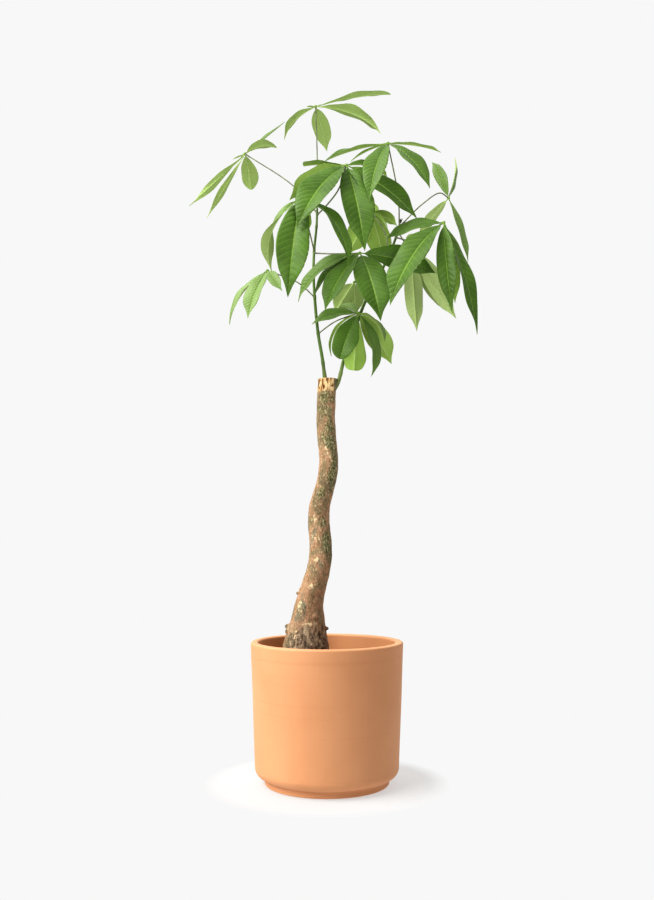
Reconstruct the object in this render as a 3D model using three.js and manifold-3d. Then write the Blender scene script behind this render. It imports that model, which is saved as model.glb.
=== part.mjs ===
// A potted money tree: a cylindrical terracotta pot, soil, one woody trunk cut off flat at the top,
// two green shoots, and thirteen palmate leaves, each on its own petiole.
// Millimetres, +Z up. The origin is on the floor, on the pot's axis.
import * as THREE from 'three';
import { mergeVertices } from 'three/addons/utils/BufferGeometryUtils.js';
import Module from 'manifold-3d';

const wasm = await Module();
wasm.setup();

// ---- driving dimensions ----
const GAP = 0.3; // clearance between pieces that touch

const POT_HEIGHT = 226;
const POT_RIM_RADIUS = 125;
const POT_HEEL_RADIUS = 117; // outer radius just above the rounded lower corner
const POT_FOOT_RADIUS = 101;
const POT_FOOT_HEIGHT = 11;
const POT_CORNER = 16; // height of the rounded lower corner
const POT_WALL = 12.5;
const POT_FLOOR = 14; // thickness of the floor
const POT_LIP = 3.5; // rounding of the lip's two edges
const DRAIN_RADIUS = 14;
const POT_SEGMENTS = 40;

const SOIL_TOP = 188; // where the soil meets the pot wall
const SOIL_MOUND = 4; // how much higher it stands around the trunk

const TRUNK_SIDES = 12;
// the trunk's middle line and its radius, from the buried root end up to the sawn top
const TRUNK = [
  { at: [-34, 2, 110], radius: 24 },
  { at: [-35, 2, 150], radius: 36 },
  { at: [-35, 1, 185], radius: 41 },
  { at: [-35, 0, 215], radius: 38.5 },
  { at: [-34, 0, 240], radius: 33 },
  { at: [-32, -1, 262], radius: 27.5 },
  { at: [-29, -3, 290], radius: 23 },
  { at: [-20, -4, 322], radius: 20.5 },
  { at: [-13, -4, 350], radius: 19.5 },
  { at: [-10, -1, 376], radius: 18.5 },
  { at: [-12, 3, 400], radius: 18.3 },
  { at: [-14, 5, 428], radius: 17.7 },
  { at: [-12, 3, 450], radius: 17.5 },
  { at: [-5, 0, 474], radius: 16.8 },
  { at: [1, -3, 500], radius: 16 },
  { at: [3, -3, 526], radius: 15.4 },
  { at: [0, 0, 560], radius: 15.8 },
  { at: [-2, 2, 600], radius: 15.4 },
  { at: [-1, 1, 636], radius: 16 },
  { at: [1, 0, 662], radius: 16.2 },
];

const SHOOT_SIDES = 6;
const SHOOTS = {
  left: {
    foot: 3.2,
    top: 2,
    path: [
      [-2, 0, 652], [-8, 0, 698], [-15, 0, 740], [-21, 0, 803],
      [-23, 0, 846], [-22, 0, 884], [-18, 0, 927], [-17, 5, 960],
    ],
  },
  right: {
    foot: 3.6,
    top: 2.2,
    path: [
      [10, 1, 640], [20, 2, 661], [29, 2, 697], [53, 2, 765], [66, 3, 798],
      [87, 6, 838], [107, 10, 880], [118, 15, 909], [127, 15, 936],
    ],
  },
};

const BUD_SCALES = 3;
const BUD_LENGTH = 9;
const BUD_RADIUS = 1.8;
const BUD_SPREAD = 24; // degrees that each bud scale leans out
const BUD_FOOT = [127, 15, 936.6]; // just above the right shoot's tip

const HUB_RADIUS = 3.2; // the knot where a petiole's leaflets meet
const LEAFLET_STALK = 0.05; // share of a leaflet's length that is bare stalk
const STALK_WIDTH = 2.2;
const STALK_THICKNESS = 2;
const TIP_WIDTH = 1.2;
const BLADE_THICKNESS = 1;
const FOLD = 14; // degrees that each half of a blade rises from its midrib
const LEAFLET_STEPS = 7;
const BELLY = 0.9; // how soon a blade widens from its stalk
const TAPER = 0.95; // how soon it narrows to its tip

// Each leaf: the shoot that bears it, its petiole's bends and radius, its hub, the way its upper
// side faces, and its leaflets. A leaflet has its tip, its width, and where they differ from the
// common ones: its own facing, rise (arch as a share of its length), sway (sideways bend),
// twist (degrees along the blade), belly and taper.
const LEAVES = {
  crown: {
    shoot: 'left',
    petiole: { radius: 1.2, path: [[-17, 4, 952], [-17, 12, 1050], [-20, 20, 1150]] },
    hub: [-20, 20, 1150],
    face: [0, 0.25, 1],
    leaflets: [
      { tip: [115, 60, 1192], width: 30, rise: 0.04, twist: 30, belly: 1.7, taper: 0.75, face: [-0.2, 0.1, 1] },
      { tip: [92, -10, 1088], width: 34, rise: 0.12, belly: 1.2, face: [0.2, 0.3, 1] },
      { tip: [0, 90, 1098], width: 31, face: [0, 1, 0.8] },
      { tip: [-75, 20, 1090], width: 28, rise: 0.13, belly: 1.2, face: [-0.2, 0.1, 1] },
      { tip: [-36, 22, 1151], width: 5, rise: 0, face: [0, 0, 1] },
    ],
  },
  far_left: {
    shoot: 'left',
    petiole: { radius: 1.2, path: [[-17, 4, 952], [-60, 28, 1010], [-148, 70, 1085]] },
    hub: [-148, 70, 1085],
    face: [-0.3, 0.4, 1],
    leaflets: [
      { tip: [-80, 130, 1172], width: 14, rise: 0, face: [-0.3, -0.35, 0.7] },
      { tip: [-90, 60, 1092], width: 30, rise: 0.16, taper: 0.7, face: [0, 0.1, 1] },
      { tip: [-140, 120, 1037], width: 31, rise: 0.12, belly: 1.1, taper: 0.65, face: [0, 1, 0.9] },
      { tip: [-214, 60, 963], width: 14, rise: 0, belly: 1.6, taper: 1.3, face: [-0.5, 0.5, 0.3] },
      { tip: [-250, 90, 995], width: 15, rise: 0, belly: 1.2, taper: 1.1, twist: 160, face: [-0.3, 0.3, 0.6] },
      { tip: [-170, 74, 1077], width: 4, rise: 0, face: [0, 0, 1] },
    ],
  },
  upper_front: {
    shoot: 'left',
    petiole: { radius: 1.5, path: [[-17, 3, 948], [0, -8, 962], [20, -30, 982], [32, -60, 1011]] },
    hub: [32, -60, 1011],
    face: [0, -0.75, 0.65],
    leaflets: [
      { tip: [-47, -130, 881], width: 60, face: [-0.35, -0.9, 0.3] },
      { tip: [60, -115, 848], width: 51 },
      { tip: [67, -95, 939], width: 26, rise: 0.03, face: [-1, 0.2, 0.2] },
      { tip: [149, -60, 919], width: 46, rise: 0.07, face: [0.3, -0.9, 0.5] },
      { tip: [104, -10, 1008], width: 34, rise: 0.12, face: [0, -0.8, 1] },
      { tip: [-64, -20, 966], width: 44, rise: 0.08, face: [-0.5, 0.6, 0.6] },
      { tip: [-40, -5, 1032], width: 30, rise: 0.03, belly: 1.3, taper: 0.6, face: [0, -0.15, 1] },
    ],
  },
  upper_right: {
    shoot: 'right',
    petiole: { radius: 1.3, path: [[125, 15, 928], [122, -8, 975], [102, -50, 1053]] },
    hub: [102, -50, 1053],
    face: [0, -0.6, 0.8],
    leaflets: [
      { tip: [40, -30, 1030], width: 14, rise: 0.06, face: [-0.35, -0.28, 1] },
      { tip: [-4, 30, 1055], width: 34, rise: 0.04, twist: -60, belly: 1.6, taper: 0.8, face: [0.1, -0.3, 1] },
      { tip: [67, -115, 931], width: 40, face: [-0.3, -0.9, 0.3] },
      { tip: [168, -80, 964], width: 38, face: [0.4, -0.8, 0.5] },
      { tip: [198, 10, 1063], width: 24, rise: 0.04, face: [0.1, -0.36, 0.9] },
    ],
  },
  back_right: {
    shoot: 'right',
    petiole: { radius: 1.3, path: [[127, 15, 933], [170, 50, 985], [205, 78, 1015], [221, 90, 1010]] },
    hub: [221, 90, 1010],
    face: [0.4, 0.4, 0.6],
    leaflets: [
      { tip: [195, 120, 1090], width: 22, rise: 0.05, sway: 0.05, face: [-0.5, -1, 0] },
      { tip: [241, 140, 1107], width: 18, rise: 0.05, face: [1, -0.25, 0] },
      { tip: [168, 125, 945], width: 22, rise: 0.05, face: [-0.5, 1, 0.5] },
      { tip: [252, 70, 885], width: 18, rise: 0.04, face: [0.6, -0.9, 0.3] },
    ],
  },
  right_front: {
    shoot: 'right',
    petiole: { radius: 1.5, path: [[119, 15, 912], [145, -25, 895], [189, -90, 903]] },
    hub: [189, -90, 903],
    face: [0, -0.8, 0.6],
    leaflets: [
      { tip: [95, -75, 879], width: 40, rise: 0.07, face: [0, -0.75, 0.8] },
      { tip: [97, -150, 752], width: 56, face: [-0.5, -0.8, 0.3] },
      { tip: [194, -140, 742], width: 30, face: [-0.3, -1, 0.2] },
      { tip: [238, -105, 716], width: 34, rise: 0.07, sway: 0.04, face: [0.7, -0.8, 0.3] },
      { tip: [208, -70, 775], width: 26, rise: 0.06, face: [0.5, 0.8, 0.3] },
    ],
  },
  centre_front: {
    shoot: 'left',
    petiole: { radius: 1.4, path: [[-22, 0, 880], [10, -35, 868], [54, -65, 860]] },
    hub: [54, -65, 860],
    face: [0, -0.8, 0.6],
    leaflets: [
      { tip: [-3, -120, 751], width: 46, rise: 0.07, face: [-0.5, -0.8, 0.3] },
      { tip: [84, -125, 733], width: 54, face: [0.1, -0.9, 0.3] },
      { tip: [180, -45, 832], width: 48, rise: 0.08, face: [0, -0.9, 0.3] },
      { tip: [-48, -40, 785], width: 34, rise: 0.17, face: [-0.4, -0.7, 0.6] },
      { tip: [-22, -50, 790], width: 28, rise: 0.12, face: [-0.4, -0.6, 0.7] },
    ],
  },
  left_front: {
    shoot: 'left',
    petiole: { radius: 1.4, path: [[-22, 0, 884], [-32, -40, 915], [-44, -80, 947]] },
    hub: [-44, -80, 947],
    face: [0, -0.8, 0.6],
    leaflets: [
      { tip: [-61, -135, 768], width: 52, face: [0, -1, 0.3] },
      { tip: [-91, -50, 833], width: 27, rise: 0.2, twist: 210, face: [-0.9, -0.5, 0.3] },
      { tip: [-31, -58, 897], width: 22, face: [0, 1, 0.3] },
      { tip: [34, -126, 816], width: 36, rise: 0.17, face: [0.5, -0.6, 0.7] },
    ],
  },
  low_left: {
    shoot: 'left',
    petiole: { radius: 1.3, path: [[-21, 0, 803], [-50, 5, 830], [-103, 20, 855]] },
    hub: [-103, 20, 855],
    face: [-0.3, -0.6, 0.7],
    leaflets: [
      { tip: [-168, 20, 760], width: 26, rise: 0.12, face: [-0.8, -0.5, 0.5] },
      { tip: [-133, -20, 762], width: 34, rise: 0.08, face: [-0.4, -0.8, 0.4] },
      { tip: [-75, -30, 806], width: 20, rise: 0.08, face: [-0.3, -0.9, 0.4] },
    ],
  },
  low_centre: {
    shoot: 'left',
    petiole: { radius: 1.3, path: [[-15, 0, 740], [15, -20, 757], [52, -32, 768]] },
    hub: [52, -32, 768],
    face: [0, -0.7, 0.7],
    leaflets: [
      { tip: [-25, -45, 746], width: 30, face: [0, -0.8, 0.8] },
      { tip: [21, -75, 682], width: 41, belly: 1.1, taper: 0.55, face: [-0.1, -0.9, 0.3] },
      { tip: [45, -22, 673], width: 37, belly: 1.2, taper: 0.45, face: [0, 1, 0.2] },
      { tip: [72, -55, 657], width: 20, rise: 0.05, sway: -0.14, face: [0.5, -0.8, 0.3] },
      { tip: [109, 0, 688], width: 42, face: [0.3, 0.9, 0.5] },
      { tip: [94, -60, 713], width: 30, rise: 0.15, face: [0.6, -0.2, 0.6] },
      { tip: [22, 5, 792], width: 26, rise: 0.05, face: [0, -0.6, 1] },
      { tip: [7, 5, 702], width: 20, rise: 0.2, face: [-1, 0.1, 0.3] },
    ],
  },
  behind_centre: {
    shoot: 'right',
    petiole: { radius: 1.2, path: [[85, 6, 834], [70, 25, 842], [48, 50, 843]] },
    hub: [48, 50, 843],
    face: [0, 1, 0.3],
    leaflets: [
      { tip: [52, 90, 795], width: 32 },
      { tip: [13, 90, 795], width: 36 },
    ],
  },
  behind_right: {
    shoot: 'right',
    petiole: { radius: 1.3, path: [[123, 15, 922], [140, 60, 915], [154, 110, 923]] },
    hub: [154, 110, 923],
    face: [0, 1, 0.5],
    leaflets: [
      { tip: [165, 130, 773], width: 34, rise: 0.03 },
      { tip: [177, 170, 971], width: 30 },
      { tip: [231, 130, 803], width: 44, rise: 0.05, face: [0.3, 0.9, 0.3] },
      { tip: [232, 90, 787], width: 30 },
    ],
  },
  behind_upper: {
    shoot: 'right',
    petiole: { radius: 1.3, path: [[107, 10, 880], [100, 45, 935], [79, 70, 977]] },
    hub: [79, 70, 977],
    face: [0, 0.8, 0.5],
    leaflets: [
      { tip: [126, 80, 955], width: 26, face: [0, 0.4, 1] },
      { tip: [108, 60, 945], width: 16, face: [1, 0, 1] },
      { tip: [109, 120, 895], width: 44 },
      { tip: [40, 110, 912], width: 44 },
      { tip: [78, 110, 1016], width: 30 },
    ],
  },
};

// ---- materials ----
const terracotta = { color: 0xd9966a, roughness: 0.85, metalness: 0 };
const earth = { color: 0x4a3628, roughness: 1, metalness: 0 };
const bark = { color: 0x9b7455, roughness: 0.95, metalness: 0 };
const greenShoot = { color: 0x5f8440, roughness: 0.6, metalness: 0 };
const petioleGreen = { color: 0x7f9a5c, roughness: 0.6, metalness: 0 };
const leafGreen = { color: 0x4f8a35, roughness: 0.45, metalness: 0 };
const budBrown = { color: 0x3d4a22, roughness: 0.7, metalness: 0 };

// ---- helpers ----
const group = new THREE.Group();

function addPiece(name, geometry, finish) {
  const piece = new THREE.Mesh(geometry, new THREE.MeshStandardMaterial(finish));
  piece.name = name;
  group.add(piece);
}

const vector = (numbers) => new THREE.Vector3(...numbers);

function toSolid(geometry) {
  const bare = geometry.clone();
  bare.deleteAttribute('normal');
  bare.deleteAttribute('uv');
  const merged = mergeVertices(bare, 1e-4);
  return new wasm.Manifold(new wasm.Mesh({
    numProp: 3,
    vertProperties: new Float32Array(merged.attributes.position.array),
    triVerts: new Uint32Array(merged.index.array),
  }));
}

function toGeometry(solid) {
  const mesh = solid.getMesh();
  const geometry = new THREE.BufferGeometry();
  geometry.setAttribute('position', new THREE.BufferAttribute(new Float32Array(mesh.vertProperties), 3));
  geometry.setIndex(new THREE.BufferAttribute(new Uint32Array(mesh.triVerts), 1));
  geometry.computeVertexNormals();
  return geometry;
}

// A closed skin over a row of rings that have the same number of points. Each end is a fan
// from its ring's first point.
function closedLoft(rings) {
  const sides = rings[0].length;
  const last = (rings.length - 1) * sides;
  const faces = [];
  for (let row = 0; row < rings.length - 1; row += 1) {
    for (let side = 0; side < sides; side += 1) {
      const here = row * sides + side;
      const next = row * sides + (side + 1) % sides;
      faces.push(here, next, next + sides, here, next + sides, here + sides);
    }
  }
  for (let side = 1; side < sides - 1; side += 1) {
    faces.push(0, side + 1, side);
    faces.push(last, last + side, last + side + 1);
  }
  const geometry = new THREE.BufferGeometry();
  const points = rings.flat().flatMap((point) => [point.x, point.y, point.z]);
  geometry.setAttribute('position', new THREE.Float32BufferAttribute(points, 3));
  geometry.setIndex(faces);
  geometry.computeVertexNormals();
  return geometry;
}

// Level rings around a path that climbs, with a radius that follows the climb.
function stemGeometry(path, radiusAt, sides, steps) {
  const curve = new THREE.CatmullRomCurve3(path.map(vector), false, 'centripetal');
  const rings = [];
  for (let step = 0; step <= steps; step += 1) {
    const along = step / steps;
    const centre = curve.getPoint(along);
    const radius = radiusAt(along);
    const ring = [];
    for (let side = 0; side < sides; side += 1) {
      const angle = (side / sides) * Math.PI * 2;
      const around = new THREE.Vector3(Math.cos(angle) * radius, Math.sin(angle) * radius, 0);
      ring.push(centre.clone().add(around));
    }
    rings.push(ring);
  }
  return closedLoft(rings);
}

function roundBar(path, radius, steps) {
  const outline = new THREE.Shape();
  outline.absarc(0, 0, radius, 0, Math.PI * 2, false);
  return new THREE.ExtrudeGeometry(outline, {
    extrudePath: new THREE.CatmullRomCurve3(path.map(vector), false, 'centripetal'),
    steps,
    curveSegments: 3,
    bevelEnabled: false,
  });
}

// ---- pot ----
function arcPoints(centreR, centreZ, radiusR, radiusZ, from, to, steps) {
  const points = [];
  for (let step = 0; step <= steps; step += 1) {
    const angle = THREE.MathUtils.degToRad(from + (to - from) * (step / steps));
    points.push([centreR + Math.cos(angle) * radiusR, centreZ + Math.sin(angle) * radiusZ]);
  }
  return points;
}

const innerRim = POT_RIM_RADIUS - POT_WALL;
const innerHeel = POT_HEEL_RADIUS - POT_WALL;
const floorTop = POT_FOOT_HEIGHT + POT_FLOOR;
const heelTop = POT_FOOT_HEIGHT + POT_CORNER;

// inner radius of the pot wall at a height
function innerRadius(height) {
  const share = (height - heelTop) / (POT_HEIGHT - heelTop);
  return innerHeel + (innerRim - innerHeel) * share;
}

function lathe(outline) {
  const points = outline.map(([r, z]) => new THREE.Vector2(r, z));
  const geometry = new THREE.LatheGeometry(points, POT_SEGMENTS);
  geometry.rotateX(Math.PI / 2);
  return geometry;
}

function makePot() {
  const cornerWidth = POT_HEEL_RADIUS - POT_FOOT_RADIUS;
  const footEdge = 2;
  const insideCorner = 10;
  const insideFoot = innerRadius(floorTop + insideCorner);
  const outline = [
    [DRAIN_RADIUS, 0],
    [POT_FOOT_RADIUS - footEdge, 0],
    [POT_FOOT_RADIUS, footEdge],
    [POT_FOOT_RADIUS, POT_FOOT_HEIGHT],
    ...arcPoints(POT_FOOT_RADIUS, heelTop, cornerWidth, POT_CORNER, -75, 0, 4),
    ...arcPoints(POT_RIM_RADIUS - POT_LIP, POT_HEIGHT - POT_LIP, POT_LIP, POT_LIP, 0, 90, 3),
    ...arcPoints(innerRim + POT_LIP, POT_HEIGHT - POT_LIP, POT_LIP, POT_LIP, 90, 180, 3),
    ...arcPoints(insideFoot - insideCorner, floorTop + insideCorner, insideCorner, insideCorner, 0, -90, 3),
    [DRAIN_RADIUS, floorTop],
  ];
  return lathe([...outline, outline[0]]);
}

// ---- trunk and soil ----
const trunkHeights = TRUNK.map(({ at }) => at[2]);
const TRUNK_STEPS = 28;

function trunkGeometry(extra) {
  const path = TRUNK.map(({ at }) => at);
  const curve = new THREE.CatmullRomCurve3(path.map(vector), false, 'centripetal');
  const radiusAt = (along) => {
    const height = curve.getPoint(along).z;
    const upper = Math.min(Math.max(trunkHeights.findIndex((h) => h >= height - 1e-6), 1), TRUNK.length - 1);
    const span = trunkHeights[upper] - trunkHeights[upper - 1];
    const share = (height - trunkHeights[upper - 1]) / span;
    return extra + THREE.MathUtils.lerp(TRUNK[upper - 1].radius, TRUNK[upper].radius, share);
  };
  return stemGeometry(path, radiusAt, TRUNK_SIDES, TRUNK_STEPS);
}

function makeSoil() {
  const bottom = floorTop + GAP;
  const bottomRadius = innerRadius(floorTop) - 12;
  const body = lathe([
    [0, bottom],
    [bottomRadius, bottom],
    [innerRadius(floorTop + 14) - GAP, floorTop + 14],
    [innerRadius(SOIL_TOP) - GAP, SOIL_TOP],
    [innerRadius(SOIL_TOP) * 0.6, SOIL_TOP + SOIL_MOUND],
    [0, SOIL_TOP + SOIL_MOUND],
  ]);
  return toGeometry(toSolid(body).subtract(toSolid(trunkGeometry(GAP))));
}

// ---- shoots ----
function shootSolid({ path, foot, top }, extra) {
  const radiusAt = (along) => extra + foot + (top - foot) * along;
  return toSolid(stemGeometry(path, radiusAt, SHOOT_SIDES, 14));
}

// The right shoot ends in a bud: a small knot with pointed scales leaning out of it.
function makeBud() {
  const middle = vector(BUD_FOOT).add(new THREE.Vector3(0, 0, BUD_RADIUS));
  let bud = toSolid(new THREE.IcosahedronGeometry(BUD_RADIUS, 1).translate(...middle.toArray()));
  for (let scale = 0; scale < BUD_SCALES; scale += 1) {
    const cone = new THREE.ConeGeometry(BUD_RADIUS * 0.7, BUD_LENGTH, 6);
    cone.translate(0, BUD_LENGTH / 2, 0);
    cone.rotateX(Math.PI / 2);
    cone.rotateY(THREE.MathUtils.degToRad(BUD_SPREAD));
    cone.rotateZ((scale / BUD_SCALES) * Math.PI * 2);
    cone.translate(...middle.toArray());
    bud = bud.add(toSolid(cone));
  }
  return toGeometry(bud);
}

// ---- leaves ----
function bladeShare(along, belly, taper) {
  const share = Math.min(Math.max((along - LEAFLET_STALK) / (1 - LEAFLET_STALK), 0), 1);
  const widest = belly / (belly + taper);
  const peak = widest ** belly * (1 - widest) ** taper;
  return (share ** belly * (1 - share) ** taper) / peak;
}

function leafletSolid(leaf, leaflet, extra) {
  const { width, rise = 0.1, sway = 0, twist = 0, belly = BELLY, taper = TAPER } = leaflet;
  const hub = vector(leaf.hub);
  const tip = vector(leaflet.tip);
  const chord = tip.clone().sub(hub);
  const length = chord.length();
  const ahead = chord.clone().normalize();
  const face = vector(leaflet.face ?? leaf.face).projectOnPlane(ahead).normalize();
  const side = ahead.clone().cross(face);
  const bow = face.clone().multiplyScalar(rise).addScaledVector(side, sway).multiplyScalar(length * 1.33);
  const midrib = new THREE.CubicBezierCurve3(
    hub,
    hub.clone().addScaledVector(chord, 0.33).add(bow),
    hub.clone().addScaledVector(chord, 0.72).add(bow),
    tip,
  );
  const lift = Math.tan(THREE.MathUtils.degToRad(FOLD));
  const rings = [];
  for (let step = 0; step <= LEAFLET_STEPS; step += 1) {
    const along = step / LEAFLET_STEPS;
    const middle = midrib.getPoint(along);
    const tangent = midrib.getTangent(along);
    const turn = THREE.MathUtils.degToRad(twist * (along - 0.3));
    const upper = face.clone().projectOnPlane(tangent).normalize().applyAxisAngle(tangent, turn);
    const across = tangent.clone().cross(upper);
    const stalk = Math.max(1 - along / 0.2, 0);
    const narrowest = along < 0.5 ? STALK_WIDTH : TIP_WIDTH;
    const half = Math.max(bladeShare(along, belly, taper) * width, narrowest) / 2 + extra;
    const thickness = THREE.MathUtils.lerp(BLADE_THICKNESS, STALK_THICKNESS, stalk) + 2 * extra;
    const below = upper.clone().multiplyScalar(-thickness);
    middle.addScaledVector(upper, extra);
    const edge = (sign) => (
      middle.clone().addScaledVector(across, sign * half).addScaledVector(upper, half * lift)
    );
    rings.push([
      middle, edge(1), edge(1).add(below), middle.clone().add(below), edge(-1).add(below), edge(-1),
    ]);
  }
  return toSolid(closedLoft(rings));
}

function leafSolid(leaf, extra) {
  let solid = toSolid(new THREE.IcosahedronGeometry(HUB_RADIUS + extra, 1).translate(...leaf.hub));
  for (const leaflet of leaf.leaflets) {
    solid = solid.add(leafletSolid(leaf, leaflet, extra));
  }
  return solid;
}

// The petiole runs from just off the shoot's skin to just short of the leaf's hub.
function petioleSolid(leaf) {
  const { path, radius } = leaf.petiole;
  return toSolid(roundBar(path, radius, 8))
    .subtract(shootSolid(SHOOTS[leaf.shoot], GAP))
    .subtract(leafSolid(leaf, GAP));
}

// ---- assembly ----
addPiece('pot', makePot(), terracotta);
addPiece('soil', makeSoil(), earth);
addPiece('trunk', trunkGeometry(0), bark);
for (const [place, shoot] of Object.entries(SHOOTS)) {
  const grown = toSolid(trunkGeometry(GAP));
  addPiece(`shoot_${place}`, toGeometry(shootSolid(shoot, 0).subtract(grown)), greenShoot);
}
addPiece('bud', makeBud(), budBrown);
for (const [place, leaf] of Object.entries(LEAVES)) {
  addPiece(`petiole_${place}`, toGeometry(petioleSolid(leaf)), petioleGreen);
  addPiece(`leaf_${place}`, toGeometry(leafSolid(leaf, 0)), leafGreen);
}

export default group;
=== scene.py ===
import math

import bpy
import numpy as np
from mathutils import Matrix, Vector, noise


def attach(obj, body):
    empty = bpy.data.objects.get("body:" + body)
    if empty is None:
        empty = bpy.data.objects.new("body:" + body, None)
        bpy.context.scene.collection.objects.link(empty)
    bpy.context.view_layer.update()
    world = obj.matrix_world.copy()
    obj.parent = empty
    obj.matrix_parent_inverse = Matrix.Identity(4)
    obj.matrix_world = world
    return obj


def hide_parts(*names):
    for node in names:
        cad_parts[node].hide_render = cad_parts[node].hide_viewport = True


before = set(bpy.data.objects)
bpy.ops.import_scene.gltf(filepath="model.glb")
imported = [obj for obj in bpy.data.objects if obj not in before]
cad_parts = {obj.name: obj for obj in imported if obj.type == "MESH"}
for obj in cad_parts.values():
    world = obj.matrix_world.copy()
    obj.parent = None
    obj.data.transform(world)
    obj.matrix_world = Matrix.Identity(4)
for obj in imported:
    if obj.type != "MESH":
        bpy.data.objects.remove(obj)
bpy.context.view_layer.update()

# A potted money tree: terracotta pot, soil, a crooked trunk sawn off flat, two green shoots and
# thirteen palmate leaves. Lengths in the tables are millimetres, as in the CAD; MM turns them
# into Blender's metres.
MM = 0.001
BODY = "root"


# ---------------------------------------------------------------- camera and view
CAMERA_PLACE = (0, -1570 * MM, 397 * MM)
CAMERA_PITCH = 5.27  # degrees above level
CAMERA_LENS = 37.6

camera_data = bpy.data.cameras.new("camera")
camera_data.lens = CAMERA_LENS
camera_data.clip_start = 0.05
camera = bpy.data.objects.new("camera", camera_data)
camera.location = CAMERA_PLACE
camera.rotation_euler = (math.radians(90 + CAMERA_PITCH), 0, 0)
bpy.context.scene.collection.objects.link(camera)
bpy.context.scene.camera = camera
bpy.context.scene.view_settings.view_transform = "Standard"
bpy.context.scene.view_settings.look = "High Contrast"


def linear(red, green, blue):
    """A colour given as it shows on screen, 0 to 255, as linear light with alpha."""
    def one(value):
        share = value / 255
        return share / 12.92 if share <= 0.04045 else ((share + 0.055) / 1.055) ** 2.4
    return (one(red), one(green), one(blue), 1)


# ---------------------------------------------------------------- material helpers
class Nodes:
    """A short way to write a material's node tree."""

    def __init__(self, name):
        self.material = bpy.data.materials.new(name)
        self.material.use_nodes = True
        self.tree = self.material.node_tree
        self.shader = self.tree.nodes["Principled BSDF"]
        self.output = self.tree.nodes["Material Output"]

    def add(self, kind, **inputs):
        node = self.tree.nodes.new("ShaderNode" + kind)
        for key, value in inputs.items():
            self.feed(node.inputs[key.replace("_", " ")], value)
        return node

    def feed(self, socket, value):
        if isinstance(value, bpy.types.NodeSocket):
            self.tree.links.new(value, socket)
        else:
            socket.default_value = value

    def place(self):
        return self.add("TexCoord").outputs["Object"]

    def stretched(self, scale):
        return self.add("Mapping", Vector=self.place(), Scale=scale).outputs["Vector"]

    def noise(self, scale, detail=3, vector=None, distortion=0):
        vector = vector or self.place()
        node = self.add("TexNoise", Vector=vector, Scale=scale, Detail=detail, Distortion=distortion)
        return node.outputs["Fac"]

    def voronoi(self, scale, vector=None, feature="F1"):
        node = self.add("TexVoronoi", Vector=vector or self.place(), Scale=scale)
        node.feature = feature
        return node.outputs["Distance"]

    def ramp(self, value, *stops):
        node = self.add("ValToRGB", Fac=value)
        elements = node.color_ramp.elements
        for element, (position, colour) in zip((elements[0], elements[1]), (stops[0], stops[-1])):
            element.position = position
            element.color = colour
        for position, colour in stops[1:-1]:
            elements.new(position).color = colour
        return node.outputs["Color"]

    def mask(self, value, low, high):
        node = self.add("MapRange", Value=value, From_Min=low, From_Max=high)
        return node.outputs["Result"]

    def mix(self, factor, first, second):
        node = self.tree.nodes.new("ShaderNodeMix")
        node.data_type = "RGBA"
        self.feed(node.inputs[0], factor)
        self.feed(node.inputs[6], first)
        self.feed(node.inputs[7], second)
        return node.outputs[2]

    def math(self, operation, first, second=0.0):
        node = self.tree.nodes.new("ShaderNodeMath")
        node.operation = operation
        self.feed(node.inputs[0], first)
        self.feed(node.inputs[1], second)
        return node.outputs[0]

    def attribute(self, name):
        node = self.tree.nodes.new("ShaderNodeAttribute")
        node.attribute_name = name
        return node.outputs["Fac"]

    def bump(self, height, strength, distance):
        node = self.add("Bump", Height=height, Strength=strength, Distance=distance)
        self.feed(self.shader.inputs["Normal"], node.outputs["Normal"])

    def finish(self, colour, roughness, specular=0.5):
        self.feed(self.shader.inputs["Base Color"], colour)
        self.feed(self.shader.inputs["Roughness"], roughness)
        self.shader.inputs["Specular IOR Level"].default_value = specular
        return self.material


# ---------------------------------------------------------------- materials
def terracotta_material():
    n = Nodes("terracotta")
    clay = n.ramp(
        n.noise(9, 4),
        (0.3, linear(222, 162, 118)),
        (0.7, linear(230, 172, 128)),
    )
    rings = n.noise(1, 2, n.stretched((1.5, 1.5, 130)))
    clay = n.mix(n.math("MULTIPLY", n.mask(rings, 0.58, 0.72), 0.25), clay, linear(214, 146, 102))
    specks = n.math("MULTIPLY", n.mask(n.voronoi(420), 0.14, 0.05), 0.3)
    clay = n.mix(specks, clay, linear(204, 136, 94))
    spots = n.math("MULTIPLY", n.mask(n.voronoi(90), 0.07, 0.03), n.mask(n.noise(14, 2), 0.56, 0.62))
    clay = n.mix(n.math("MULTIPLY", spots, 0.6), clay, linear(244, 222, 200))
    grain = n.math("ADD", n.noise(900, 3), n.math("MULTIPLY", rings, 0.5))
    n.bump(grain, 0.2, 0.0004)
    return n.finish(clay, 0.58, 0.5)


def soil_material():
    n = Nodes("soil")
    earth = n.ramp(
        n.noise(160, 6),
        (0.35, linear(44, 30, 22)),
        (0.6, linear(84, 62, 46)),
        (0.78, linear(122, 96, 74)),
    )
    n.bump(n.noise(420, 5), 0.8, 0.002)
    return n.finish(earth, 0.95, 0.2)


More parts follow.
